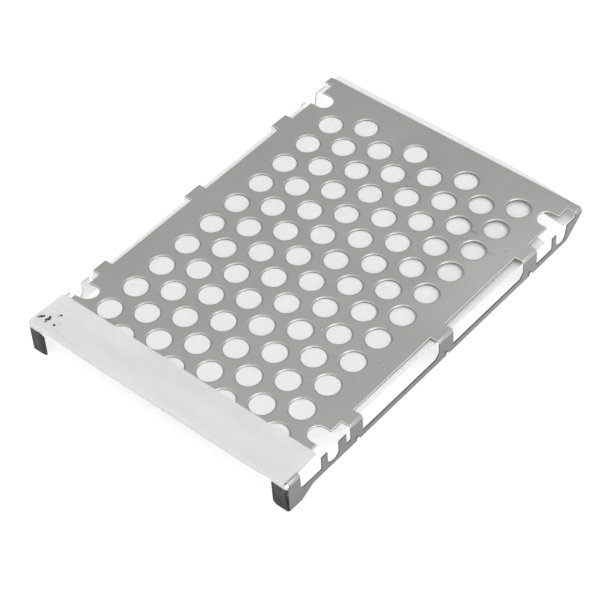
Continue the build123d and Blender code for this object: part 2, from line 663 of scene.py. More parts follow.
@dataclass(frozen=True)
class MilkyFilm:
    """Thin translucent film with a soft sheen, a darker copy of its colour on the strip as painted
    shade of the steel under it, and a few specks where it has been handled.
    """

    name: str = "milky_film"
    colour: Colour = (0.98, 0.98, 0.977, 1.0)
    clouded: Colour = (0.955, 0.955, 0.953, 1.0)
    cloud_range: Point = (0.35, 0.65)
    cloud_scale: float = 90.0
    cloud_detail: float = 3.0
    # Painted shade: the strip on the plate takes a darker copy of the film's colour, for the steel
    # under it.
    shaded_strip_colour: Colour = (0.85, 0.85, 0.848, 1.0)
    shaded_strip_dim: Colour = (0.8, 0.8, 0.798, 1.0)
    strip_level: float = 8.12
    strip_blend: float = 0.1
    streak: Triple = (0.35, 1.2, 1.0)
    streak_scale: float = 170.0
    streak_detail: float = 4.0
    streak_range: Point = (0.3, 0.7)
    depth: float = 0.1
    wave_height: float = 0.0005
    wave_strength: float = 0.5
    opacity: float = 0.91
    roughness: float = 0.38
    speck_colour: Colour = (0.02, 0.02, 0.022, 1.0)
    faint_colour: Colour = (0.55, 0.55, 0.55, 1.0)
    speck_noise: float = 1500.0
    smudge_share: float = 0.6
    specks: tuple[Triple, ...] = (
        (-34.95, -48.05, 0.36), (-34.6, -47.6, 0.44), (-34.25, -47.25, 0.34),
        (-33.1, -47.65, 0.4), (-32.85, -47.2, 0.5), (-32.95, -46.65, 0.42),
        (-32.86, -48.1, 0.3), (-30.67, -47.76, 0.36), (-31.45, -44.9, 0.36),
    )
    smudges: tuple[Triple, ...] = (
        (-31.75, -45.3, 0.42), (-30.1, -46.7, 0.3), (-31.7, -43.1, 0.28),
        (-27.0, -48.95, 0.26), (-24.0, -49.2, 0.3), (-34.5, -42.6, 0.26),
        (-33.5, -42.5, 0.24), (-28.7, -49.0, 0.2),
    )

    def build(self) -> bpy.types.Material:
        """Makes the material.

        Returns:
            A film that lets part of what is behind it show through.
        """
        material, bench, skin = blank_finish(self.name)
        place = bench.term("ShaderNodeTexCoord", "Object")
        cloud = bench.noise(place, self.cloud_scale, self.cloud_detail)
        sheet = bench.blend(bench.ramp(cloud, *self.cloud_range), self.clouded, self.colour)
        level = bench.term("ShaderNodeSeparateXYZ", "Z", sockets={0: place})
        drawn = bench.vector("MULTIPLY", place, self.streak)
        streaks = bench.noise(drawn, self.streak_scale, self.streak_detail)
        tone = bench.ramp(streaks, *self.streak_range)
        strip = bench.blend(tone, self.shaded_strip_dim, self.shaded_strip_colour)
        low, high = (self.strip_level - self.strip_blend) * METRE, self.strip_level * METRE
        # Painted shade: above strip_level the darker strip copy replaces the sheet's colour.
        base = bench.blend(bench.ramp(level, low, high), sheet, strip)
        loose = stirred(bench, place, self.speck_noise)
        faint = marked(bench, loose, self.smudges, STRIP_TOP) * self.smudge_share
        smudged = bench.blend(faint, base, self.faint_colour)
        marks = marked(bench, loose, self.specks, STRIP_TOP)
        bench.feed(skin["Base Color"], bench.blend(marks, smudged, self.speck_colour))
        bench.feed(skin["Alpha"], marks * (1.0 - self.opacity) + self.opacity)
        bench.feed(skin["Normal"], bench.bumped(cloud, self.wave_strength, self.wave_height))
        skin["Roughness"].default_value = self.roughness
        skin["Subsurface Weight"].default_value = 1.0
        skin["Subsurface Radius"].default_value = (1.0, 1.0, 1.0)
        skin["Subsurface Scale"].default_value = self.depth * METRE
        return material


@dataclass(frozen=True)
class PaleFloor:
    """Plain pale floor that keeps the soft shadow."""

    name: str = "pale_floor"
    colour: Colour = (0.8, 0.8, 0.8, 1.0)
    glow: float = 0.56

    def build(self) -> bpy.types.Material:
        """Makes the material.

        Returns:
            A matt floor with a faint glow for what looks at it directly.
        """
        material = bpy.data.materials.new(self.name)
        material.use_nodes = True
        nodes = material.node_tree.nodes
        nodes.remove(nodes["Principled BSDF"])
        bench = Bench(material.node_tree)
        path = bench.node("ShaderNodeLightPath").outputs
        seen = Term(bench, path["Is Camera Ray"]).larger(path["Is Glossy Ray"])
        seen = seen.larger(path["Is Transmission Ray"])
        matt = bench.term("ShaderNodeBsdfDiffuse", sockets={"Color": self.colour})
        glow = bench.term("ShaderNodeEmission", sockets={"Strength": seen * self.glow})
        both = bench.term("ShaderNodeAddShader", sockets={0: matt, 1: glow})
        bench.feed(nodes["Material Output"].inputs["Surface"], both)
        return material


@dataclass
class FoldedFrame:
    """The perforated plate with its folded walls, rails, fingers and hooks.

    Distances along the frame are counted rearwards from the plate's front edge, and depths
    down from its top.
    """

    steel: SatinSteel = SatinSteel(
        scuffs=(
            (1.4, 30.2, 0.35), (2.4, 30.7, 0.3), (21.6, 27.75, 0.5), (22.4, 27.75, 0.45),
            (21.8, 25.3, 0.35), (28.0, 24.8, 0.3), (28.6, 24.5, 0.28), (29.2, 25.0, 0.28),
            (30.7, 27.3, 0.3), (19.8, 9.1, 0.35), (20.5, 8.3, 0.3), (0.3, 32.4, 0.3),
            (32.1, 14.1, 0.2), (25.1, -5.6, 0.4),
        ),
        glints=(
            (30.4, -13.7, 0.22), (28.9, -13.4, 0.2), (31.4, -14.5, 0.22),
            (14.3, -14.1, 0.28), (28.6, -33.2, 0.2), (27.3, -32.6, 0.22),
            (20.5, -26.8, 0.18), (21.1, -26.3, 0.18), (28.7, -19.7, 0.2),
            (29.9, -20.8, 0.18), (10.9, -3.9, 0.2),
        ),
    )
    # Painted reflection: a near-white copy of the steel for the walls' inner faces.
    inner_steel: SatinSteel = SatinSteel(
        name="inner_steel",
        colour=(0.97, 0.97, 0.967, 1.0),
        low_tone_colour=(0.93, 0.93, 0.927, 1.0),
        wall_shade=1.0,
    )
    # Painted shade: a near-black copy of the steel for the hooks' fronts, with upright streaks, a
    # painted reflection of the shaded floor in front of them.
    hook_steel: SatinSteel = SatinSteel(
        name="hook_steel",
        colour=(0.15, 0.15, 0.15, 1.0),
        low_tone_colour=(0.018, 0.018, 0.018, 1.0),
        wall_shade=1.0,
        cloud_scale=800.0,
        cloud_shape=(1.0, 1.0, 0.3),
        tone_range=(0.5, 0.7),
    )
    # Painted shade: a dark copy of the steel for cut edges and round the dimples' feet.
    cut_steel: SatinSteel = SatinSteel(
        name="cut_steel",
        colour=(0.14, 0.14, 0.14, 1.0),
        low_tone_colour=(0.1, 0.1, 0.1, 1.0),
        wall_shade=1.0,
    )
    # Painted highlight: a bright copy of the steel for the slots' rolled edges and the dimples'
    # crowns.
    roll_steel: SatinSteel = SatinSteel(
        name="roll_steel",
        colour=(0.88, 0.88, 0.877, 1.0),
        low_tone_colour=(0.8, 0.8, 0.797, 1.0),
        wall_shade=1.0,
        roughness=0.22,
    )

    # Sheet, plate and bends
    half_width: float = 35.725
    plate_edge: float = 33.395
    front_edge: float = FRONT_EDGE
    plate_length: float = 98.0
    plate_top: float = PLATE_TOP
    sheet: float = 0.3
    bend_outer: float = 0.7

    # Rails, notches, slots, tabs and fingers
    rail_bottom: float = 1.9
    rail_top: float = 3.55
    screw_z: float = 4.6
    notch_radius: float = 1.7
    notch_lean: float = 0.5
    front_screw: float = 13.75
    rear_screw: float = 90.35
    slot_radius: float = 2.1
    slot_reach: float = 3.7
    left_rear_slot_reach: float = 4.25
    tabs: tuple[Point, ...] = ((19.1, 23.0), (47.7, 52.5), (76.75, 81.55))
    corner_tab: float = 95.7
    bridge: Point = (0.6, 3.8)
    finger_depth: float = 1.15
    front_finger: float = 1.95
    second_finger: float = 2.4
    rear_finger: float = 1.55
    gap_depth: float = 4.0
    shoulder_depth: float = 1.35
    inner_corner: float = 0.9
    gusset: float = 1.1

    # Feet, slopes and hooks
    foot_length: float = 3.8
    foot_slope: float = 3.6
    rear_slope: float = 5.5
    rear_corner_depth: float = 1.8
    rail_corner: float = 0.8
    hook_depth: float = 1.1
    hook_overhang: float = 0.3
    hook_end: float = 31.425
    hook_corners: Point = (0.4, 1.3)
    left_foot_corner: float = 0.75

    # How far the cutting shapes reach past the frame, above the plate and elsewhere
    margin: float = 0.3
    clearance: float = 1.0

    # Rolled edges, with the angles between faces in degrees
    edge_roll: float = 0.2
    edge_steps: int = 3
    burr_share: float = 0.25
    weld: float = 0.002
    flat_angle: float = 0.5
    edge_angle: float = 30.0

    # Round holes and their rolled rims
    hole_radius: float = 2.75
    rim_width: float = 0.52
    rim_depth: float = 0.23
    rim_power: float = 1.7
    rim_share: float = 0.96
    rim_steps: int = 7
    hole_pitch: float = 8.05
    row_pitch: float = 7.13
    row_pairs: int = 4
    long_row_holes: int = 11
    hole_segments: int = 40

    # Dimples, with the foot's surroundings as a share of their radius
    dimple_radius: float = 0.6
    dimple_rise: float = 0.34
    dimple_height: float = 2.725
    dimple_pitch: float = 29.05
    dimple_middle: float = 50.1
    dimple_count: int = 3
    dimple_steps: int = 6
    dimple_segments: int = 28
    dimple_surroundings: float = 1.2
    hollow_share: float = 0.7
    hollow_reach: float = 0.2

    # Limits between the finishes, which paint highlights, reflections and shade into faces: places
    # in millimetres, and parts of a face's direction
    slot_field: float = 28.6
    slot_rim_depth: float = 0.14
    hole_rim_depth: float = 0.184
    inner_depth: float = 0.45
    dimple_foot: float = 0.034
    # Painted highlight on a dimple's crown out to the first share, plain steel to the second,
    # painted shade round its foot beyond.
    dimple_bands: Point = (0.7, 0.86)
    hook_forward: float = 0.45
    hook_upward: float = 0.3
    wall_outward: float = 0.5
    rim_upward: float = 0.9
    plate_upward: float = 0.985

    # Where along the frame the shift of the corner sets in and where it is whole
    shift_span: Point = (20.0, -30.0)

    def station(self, distance: float) -> float:
        """Y of a point that lies this far behind the plate's front edge."""
        return self.front_edge + distance

    @property
    def cut_top(self) -> float:
        """Height at which the cutting shapes end, clear above the plate."""
        return self.plate_top + self.margin

    @property
    def fold_end(self) -> float:
        """Y where the hooks' bends meet the walls."""
        return self.front_edge - self.hook_overhang + self.bend_outer

    def section(self) -> bpy.types.Object:
        """Pushes the folded section, plate, bends and walls, out over the plate's length.

        Returns:
            The closed solid, before anything is cut from it.
        """
        half, top, thick = self.half_width, self.plate_top, self.sheet
        inner = self.bend_outer - thick
        outline = rounded([
            (-half, 0, 0),
            (-half, top, self.bend_outer),
            (half, top, self.bend_outer),
            (half, 0, 0),
            (half - thick, 0, 0),
            (half - thick, top - thick, inner),
            (thick - half, top - thick, inner),
            (thick - half, 0, 0),
        ])
        end = self.station(self.plate_length)
        return prism("folded_frame", outline, Along.Y, self.front_edge, end)

    def beside(self, corners: Iterable[Triple]) -> list[Point]:
        """Rounds an outline of the side whose corners lie at distances along the frame."""
        return rounded((self.station(along), z, radius) for along, z, radius in corners)

    def notch(self, screw: float, front_top: float, rear_top: float) -> list[Triple]:
        """Gives the corners of a screw notch, with its round bottom about the screw's axis.

        Args:
            screw: distance of the screw from the plate's front edge.
            front_top: where the notch's front side ends.
            rear_top: where its rear side ends.

        Returns:
            Four corners as (distance, z, radius).
        """
        front, rear = screw - self.notch_radius, screw + self.notch_radius
        floor = self.screw_z - self.notch_radius
        bottom = self.notch_radius * ROUND_END
        return [
            (front, front_top, 0),
            (front, floor, bottom),
            (rear, floor, bottom),
            (rear, rear_top, 0),
        ]

    def front_gap(self) -> list[Point]:
        """Outlines the gap from the bridge to the first tab, round both fingers.

        Returns:
            Points as (y, z).
        """
        finger_top = self.plate_top - self.finger_depth
        gap_floor = self.plate_top - self.gap_depth
        first_finger = self.front_screw - self.notch_radius - self.front_finger
        second_finger = self.front_screw + self.notch_radius + self.second_finger
        return self.beside([
            (self.bridge[1], self.cut_top, 0),
            (self.bridge[1], self.rail_top, self.inner_corner),
            (first_finger, self.rail_top, 0),
            (first_finger, finger_top, 0),
            *self.notch(self.front_screw, finger_top, finger_top),
            (second_finger, finger_top, 0),
            (second_finger, gap_floor, 0),
            (self.tabs[0][0], gap_floor, 0),
            (self.tabs[0][0], self.cut_top, 0),
        ])

    def window(self, start: float, end: float) -> list[Point]:
        """Outlines a window between two tabs, with its gusset at the rear.

        Args:
            start: distance of its front end from the plate's front edge.
            end: distance of its rear end.

        Returns:
            Points as (y, z).
        """
        return [
            (self.station(start), self.cut_top),
            (self.station(start), self.rail_top),
            (self.station(end) - self.gusset, self.rail_top),
            (self.station(end), self.rail_top + self.gusset),
            (self.station(end), self.cut_top),
        ]

    def rear_gap(self) -> list[Point]:
        """Outlines the gap from the last tab to the corner tab, round the finger.

        Returns:
            Points as (y, z).
        """
        finger_top = self.plate_top - self.shoulder_depth
        finger = self.rear_screw - self.notch_radius - self.rear_finger
        return self.beside([
            (self.tabs[2][1], self.cut_top, 0),
            (self.tabs[2][1], self.rail_top, 0),
            (finger, self.rail_top, 0),
            (finger, finger_top, 0),
            *self.notch(self.rear_screw, finger_top, self.screw_z),
            (self.rear_screw + self.notch_radius + self.notch_lean, finger_top, 0),
            (self.corner_tab, finger_top, 0),
            (self.corner_tab, self.cut_top, 0),
        ])

    def hook_room(self) -> list[Point]:
        """Outlines what is cut from the wall's front end, where the hook takes over.

        Returns:
            Points as (y, z).
        """
        clear = self.front_edge - self.clearance
        high = self.plate_top - self.hook_depth
        bridge = self.station(self.bridge[0])
        return [
            (clear, -self.clearance),
            (self.fold_end, -self.clearance),
            (self.fold_end, high),
            (bridge, high),
            (bridge, self.cut_top),
            (clear, self.cut_top),
        ]

    def underside(self) -> list[Point]:
        """Outlines what is cut from below: behind the foot and at the rear slope.

        Returns:
            Points as (y, z).
        """
        end = self.plate_length
        corner = self.plate_top - self.rear_corner_depth
        return self.beside([
            (self.foot_length, -self.clearance, 0),
            (self.foot_length, 0, 0),
            (self.foot_length + self.foot_slope, self.rail_bottom, self.rail_corner),
            (end - self.rear_slope, self.rail_bottom, self.rail_corner),
            (end, corner, 0),
            (end + self.clearance, corner, 0),
            (end + self.clearance, -self.clearance, 0),
        ])

    def side_cutters(self, side: int) -> list[bpy.types.Object]:
        """Solids that are cut from one side of the section.

        Args:
            side: 1 for the right-hand side and -1 for the left.

        Returns:
            The cutters of the walls and of the plate's slots.
        """
        ends = (side * self.plate_edge, side * (self.half_width + self.clearance))
        outlines = [
            self.hook_room(),
            self.front_gap(),
            self.window(self.tabs[0][1], self.tabs[1][0]),
            self.window(self.tabs[1][1], self.tabs[2][0]),
            self.rear_gap(),
            self.underside(),
        ]
        cutters = [prism("cutter", o, Along.X, min(ends), max(ends)) for o in outlines]
        outer = self.plate_edge + self.margin
        rear_reach = self.slot_reach if side > 0 else self.left_rear_slot_reach
        for screw, reach in (
            (self.front_screw, self.slot_reach), (self.rear_screw, rear_reach)
        ):
            inner = self.plate_edge - reach
            low = self.station(screw) - self.slot_radius
            high = self.station(screw) + self.slot_radius
            round_end = self.slot_radius * ROUND_END
            slot = rounded([
                (side * inner, low, round_end),
                (side * inner, high, round_end),
                (side * outer, high, 0),
                (side * outer, low, 0),
            ])
            bottom = self.plate_top - self.sheet - self.margin
            cutters.append(prism("slot", slot, Along.Z, bottom, self.cut_top))
        return cutters

    def hook(self, side: int) -> list[bpy.types.Object]:
        """Solids of one hook: the upright bend and the plate that is folded inward.

        Args:
            side: 1 for the right-hand side and -1 for the left.

        Returns:
            The two solids, which meet the wall's front end.
        """
        height = self.plate_top - self.hook_depth
        face = self.front_edge - self.hook_overhang
        bend_x = self.half_width - self.bend_outer
        inner = self.bend_outer - self.sheet
        steps = round(90 / ARC_STEP)
        quarter = [math.radians(ARC_STEP * step) for step in range(steps + 1)]
        spokes = [(self.bend_outer, turn) for turn in quarter]
        spokes += [(inner, turn) for turn in reversed(quarter)]
        ring = [
            (side * (bend_x + radius * math.sin(turn)), self.fold_end - radius * math.cos(turn))
            for radius, turn in spokes
        ]
        top_corner, bottom_corner = self.hook_corners
        if side < 0:
            top_corner, bottom_corner = bottom_corner, self.left_foot_corner
        blade = rounded([
            (side * bend_x, 0, 0),
            (side * bend_x, height, 0),
            (side * self.hook_end, height, top_corner),
            (side * self.hook_end, 0, bottom_corner),
        ])
        return [
            prism("hook_bend", ring, Along.Z, 0, height),
            prism("hook_blade", blade, Along.Y, face, face + self.sheet),
        ]

    def on_outer_skin(self, place: Vector) -> bool:
        """Tells whether a point lies on the sheet's outer face, which the punch enters.

        Args:
            place: the point, in millimetres.

        Returns:
            True on the plate's top, the walls' and hooks' outsides and their bends.
        """
        close = 0.01
        past = abs(place.x) - self.half_width + self.bend_outer
        bends = (
            Vector((past, place.z - self.plate_top + self.bend_outer)),
            Vector((past, self.fold_end - place.y)),
        )
        return (
            place.z > self.plate_top - close
            or abs(place.x) > self.half_width - close
            or place.y < self.front_edge - self.hook_overhang + close
            or any(min(b) > 0 and abs(b.length - self.bend_outer) < close for b in bends)
        )

    def ease_edges(self, blank: bpy.types.Object) -> bpy.types.Object:
        """Rolls the edges of the outer face and takes the sharpness off the others.

        Args:
            blank: the folded frame with all its side cuts and hooks.

        Returns:
            The frame with rounded edges.
        """
        shape = bmesh.new()
        shape.from_mesh(blank.data)
        bmesh.ops.remove_doubles(shape, verts=shape.verts, dist=self.weld)
        flat = math.radians(self.flat_angle)
        bmesh.ops.dissolve_limit(
            shape, angle_limit=flat, verts=shape.verts, edges=shape.edges
        )
        sharp = math.radians(self.edge_angle)
        weight = shape.edges.layers.float.new("bevel_weight_edge")
        for edge in shape.edges:
            if len(edge.link_faces) != 2 or edge.calc_face_angle(0.0) < sharp:
                continue
            if all(self.on_dimple(v.co) < self.dimple_surroundings for v in edge.verts):
                continue
            outside = all(self.on_outer_skin(vertex.co) for vertex in edge.verts)
            edge[weight] = 1.0 if outside else self.burr_share
        shape.to_mesh(blank.data)
        shape.free()
        roll = blank.modifiers.new("rolled_edges", "BEVEL")
        roll.limit_method = "WEIGHT"
        roll.width = self.edge_roll
        roll.segments = self.edge_steps
        roll.use_clamp_overlap = False
        return settled(blank, blank.name)

    def dimple(self, radius_share: float, base: float, lift: float) -> bpy.types.Object:
        """Makes a cap with its flat side down.

        Args:
            radius_share: radius of the cap as a share of the dimple's radius.
            base: depth of the cap's foot below the wall's face.
            lift: height of its crown above the wall's face.

        Returns:
            The cap, about the Z axis.
        """
        radius = self.dimple_radius * radius_share
        rise = self.dimple_rise
        curve = (radius**2 + rise**2) / (2 * rise)
        reach = math.asin(min(1.0, radius / curve))
        profile = [(radius, -base)]
        for step in range(self.dimple_steps):
            turn = reach * (1 - step / self.dimple_steps)
            profile.append((curve * math.sin(turn), lift - curve * (1 - math.cos(turn))))
        return lathe("dimple", profile, self.dimple_segments)

    def pressed(
        self, frame_piece: bpy.types.Object, finish: bpy.types.Material
    ) -> bpy.types.Object:
        """Presses the dimples into both rails with a node tree.

        Args:
            frame_piece: the frame before pressing.
            finish: material of the frame.

        Returns:
            The frame with a dimple below each tab.
        """
        crown = self.dimple(1.0, self.sheet / 2, self.dimple_rise)
        hollow_base = self.sheet + self.hollow_reach
        hollow = self.dimple(self.hollow_share, hollow_base, self.dimple_rise - self.sheet)
        first_y = self.station(self.dimple_middle - self.dimple_pitch)
        values = {
            "Crown": crown,
            "Hollow": hollow,
            "Count": self.dimple_count,
            "Pitch": self.dimple_pitch,
            "First": (self.half_width, first_y, self.dimple_height),
            "Finish": finish,
        }
        tree = ShapeTree("rail_dimples", values)
        given = tree.given
        step = tree.term("ShaderNodeCombineXYZ", sockets={"Y": given["Pitch"]})
        right = tree.term(
            "GeometryNodeMeshLine",
            0,
            {"mode": "OFFSET"},
            {"Count": given["Count"], "Start Location": given["First"], "Offset": step},
        )
        across = tree.vector("MULTIPLY", given["First"], (-2.0, 0.0, 0.0))
        left = tree.term(
            "GeometryNodeTransform", sockets={"Geometry": right, "Translation": across}
        )
        spots = ((right, math.pi / 2), (left, -math.pi / 2))
        raised = tree.combine(BooleanKind.ADD, given["Frame"], tree.stamps("Crown", spots))
        tree.close(tree.combine(BooleanKind.CUT, raised, tree.stamps("Hollow", spots)))
        made = tree.run(frame_piece)
        discard(crown, hollow)
        return made

    def punch(self) -> bpy.types.Object:
        """Makes the round punch, flared where it rolls the rim of a hole.

        Returns:
            A solid about the Z axis, as tall as the plate and a margin each way.
        """
        bottom = self.plate_top - self.sheet - self.margin
        shoulder = self.plate_top - self.rim_depth * self.rim_share
        profile = [(self.hole_radius, bottom), (self.hole_radius, shoulder)]
        for step in range(1, self.rim_steps + 1):
            share = step / self.rim_steps
            lift = 1 - (1 - share) ** self.rim_power
            profile.append((
                self.hole_radius + self.rim_width * share, shoulder + self.rim_depth * lift
            ))
        profile.append((self.hole_radius + self.rim_width, self.cut_top))
        return lathe("punch", profile, self.hole_segments)

    def perforated(
        self, frame_piece: bpy.types.Object, finish: bpy.types.Material
    ) -> bpy.types.Object:
        """Punches the plate's rows of holes with a node tree.

        Long and short rows take turns, half a pitch apart.

        Args:
            frame_piece: the frame before punching.
            finish: material of the frame.

        Returns:
            The frame with its holes, as a plain mesh.
        """
        punch = self.punch()
        values = {
            "Punch": punch,
            "Row pitch": self.row_pitch,
            "Hole pitch": self.hole_pitch,
            "Row pairs": self.row_pairs,
            "Long row holes": self.long_row_holes,
            "Middle": (0.0, self.station(self.plate_length / 2), 0.0),
            "Finish": finish,
        }
        tree = ShapeTree("perforations", values)
        names = ("Row pitch", "Hole pitch", "Row pairs", "Long row holes")
        row_pitch, hole_pitch, pairs, long_row = (Term(tree, tree.given[n]) for n in names)
        width = (pairs - 1.0) * row_pitch * 2.0
        spots = []
        for holes, side in ((long_row, 0.5), (long_row - 1.0, -0.5)):
            length = (holes - 1.0) * hole_pitch
            sizes = {"Size X": width, "Size Y": length, "Vertices X": pairs, "Vertices Y": holes}
            grid = tree.term("GeometryNodeMeshGrid", "Mesh", sockets=sizes)
            aside = tree.term("ShaderNodeCombineXYZ", sockets={"X": row_pitch * side})
            shift = tree.vector("ADD", aside, tree.given["Middle"])
            rows = tree.term(
                "GeometryNodeTransform", sockets={"Geometry": grid, "Translation": shift}
            )
            spots.append((rows, 0.0))
        stamps = tree.stamps("Punch", spots)
        tree.close(tree.combine(BooleanKind.CUT, tree.given["Frame"], stamps))
        made = tree.run(frame_piece)
        discard(punch)
        return made

    def on_dimple(self, place: Vector) -> float:
        """Tells how far out on a dimple a point lies.

        Args:
            place: the point, in millimetres.

        Returns:
            Its distance from the nearest dimple's middle, as a share of the radius.
        """
        middle = self.station(self.dimple_middle)
        steps = max(-1, min(1, round((place.y - middle) / self.dimple_pitch)))
        away = Vector((place.y - middle - steps * self.dimple_pitch, place.z - self.dimple_height))
        return away.length / self.dimple_radius

    def finish_of(self, place: Vector, normal: Vector) -> str:
        """Chooses the finish of one face, which may paint a highlight, a reflection or shade into
        its colour.

        Args:
            place: middle of the face, in millimetres.
            normal: direction in which it looks.

        Returns:
            Name of the field that holds the finish.
        """
        side = abs(place.x)
        # Painted shade on the hooks' fronts.
        if place.y < self.fold_end - self.sheet and place.z < self.plate_top - self.hook_depth:
            if normal.y < -self.hook_forward and normal.z < self.hook_upward:
                return "hook_steel"
        # Painted highlight on each dimple's crown and painted shade round its foot.
        if side > self.half_width + self.dimple_foot:
            away = self.on_dimple(place)
            crown, slope = self.dimple_bands
            return "roll_steel" if away < crown else "steel" if away < slope else "cut_steel"
        # Painted reflection on the walls' inner faces, and painted shade on the walls' cut edges.
        if place.z < self.plate_top - self.inner_depth:
            if side > self.half_width - self.sheet and abs(normal.x) < self.wall_outward:
                return "cut_steel"
            return "inner_steel" if side < self.half_width - self.sheet / 2 else "steel"
        # Painted shade on the cut faces of the hole and slot rims, and a painted highlight on the
        # slots' rolled edges.
        by_slots = side > self.slot_field
        if side < self.half_width - self.bend_outer:
            rim = self.slot_rim_depth if by_slots else self.hole_rim_depth
            if abs(normal.z) < self.rim_upward and place.z < self.plate_top - rim:
                return "cut_steel"
            if by_slots and normal.z < self.plate_upward:
                return "roll_steel"
        return "steel"

    def dress(self, piece: bpy.types.Object) -> None:
        """Paints light and shade into the faces' colours: a painted reflection on the inner faces,
        painted shade on the cut edges, the hooks' fronts and round the dimples' feet, and painted
        highlights on the slots' rolled edges and the dimples' crowns.

        Args:
            piece: the frame, still in millimetres and true to its outline.
        """
        chosen = ("inner_steel", "hook_steel", "cut_steel", "roll_steel")
        slots = {"steel": 0}
        for field in chosen:
            slots[field] = len(piece.data.materials)
            piece.data.materials.append(getattr(self, field).build())
        for face in piece.data.polygons:
            field = self.finish_of(face.center, face.normal)
            if field != "steel":
                face.material_index = slots[field]

    def build(self) -> bpy.types.Object:
        """Makes the whole frame and dresses it.

        Returns:
            The finished piece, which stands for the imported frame.
        """
        blank = self.section()
        for side in (1, -1):
            for cutter in self.side_cutters(side):
                blank = combined(blank, cutter, BooleanKind.CUT)
            for part in self.hook(side):
                blank = combined(blank, part, BooleanKind.ADD)
        steel = self.steel.build()
        blank = self.pressed(blank, steel)
        blank = self.perforated(blank, steel)
        piece = self.ease_edges(blank)
        piece.name = "folded_frame"
        self.dress(piece)
        set_out_of_true(piece, *self.shift_span)
        finish_mesh(piece)
        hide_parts("caddy_frame")
        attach(piece, "root")
        return piece


def smooth_share(value: float) -> float:
    """Eases a share from 0 to 1, and holds it at both ends."""
    held = min(1.0, max(0.0, value))
    return held * held * (3 - 2 * held)


def set_out_of_true(piece: bpy.types.Object, start: float, end: float) -> None:
    """Moves the left front corner out a little, as handling has left it.

    Args:
        piece: the piece, in millimetres.
        start: Y where the shift sets in.
        end: Y in front of which it is whole.
    """
    aside, forward = LEFT_FRONT_SHIFT
    shape = bmesh.new()
    shape.from_mesh(piece.data)
    shares = [step / SHIFT_STEPS for step in range(SHIFT_STEPS + 1)]
    lines = [((SHIFT_START - SHIFT_WIDTH * share, 0, 0), (1, 0, 0)) for share in shares]
    lines += [((0, start + (end - start) * share, 0), (0, 1, 0)) for share in shares]
    for place, across in lines:
        every = shape.verts[:] + shape.edges[:] + shape.faces[:]
        bmesh.ops.bisect_plane(
            shape, geom=every, dist=SAME_PLACE, plane_co=place, plane_no=across
        )
    for vertex in shape.verts:
        edge = smooth_share((SHIFT_START - vertex.co.x) / SHIFT_WIDTH)
        share = edge * smooth_share((start - vertex.co.y) / (start - end))
        vertex.co.x += aside * share
        vertex.co.y += forward * share
    shape.to_mesh(piece.data)
    shape.free()


def finish_mesh(piece: bpy.types.Object) -> None:
    """Brings a finished mesh to metres, with smooth faces between its sharp edges.

    Args:
        piece: the piece, in millimetres.
    """
    mesh = piece.data
    mesh.transform(Matrix.Scale(METRE, 4))
    mesh.shade_smooth()
    mesh.set_sharp_from_angle(angle=math.radians(SHARP_ANGLE))
    even = piece.modifiers.new("even_shading", "WEIGHTED_NORMAL")
    even.keep_sharp = True


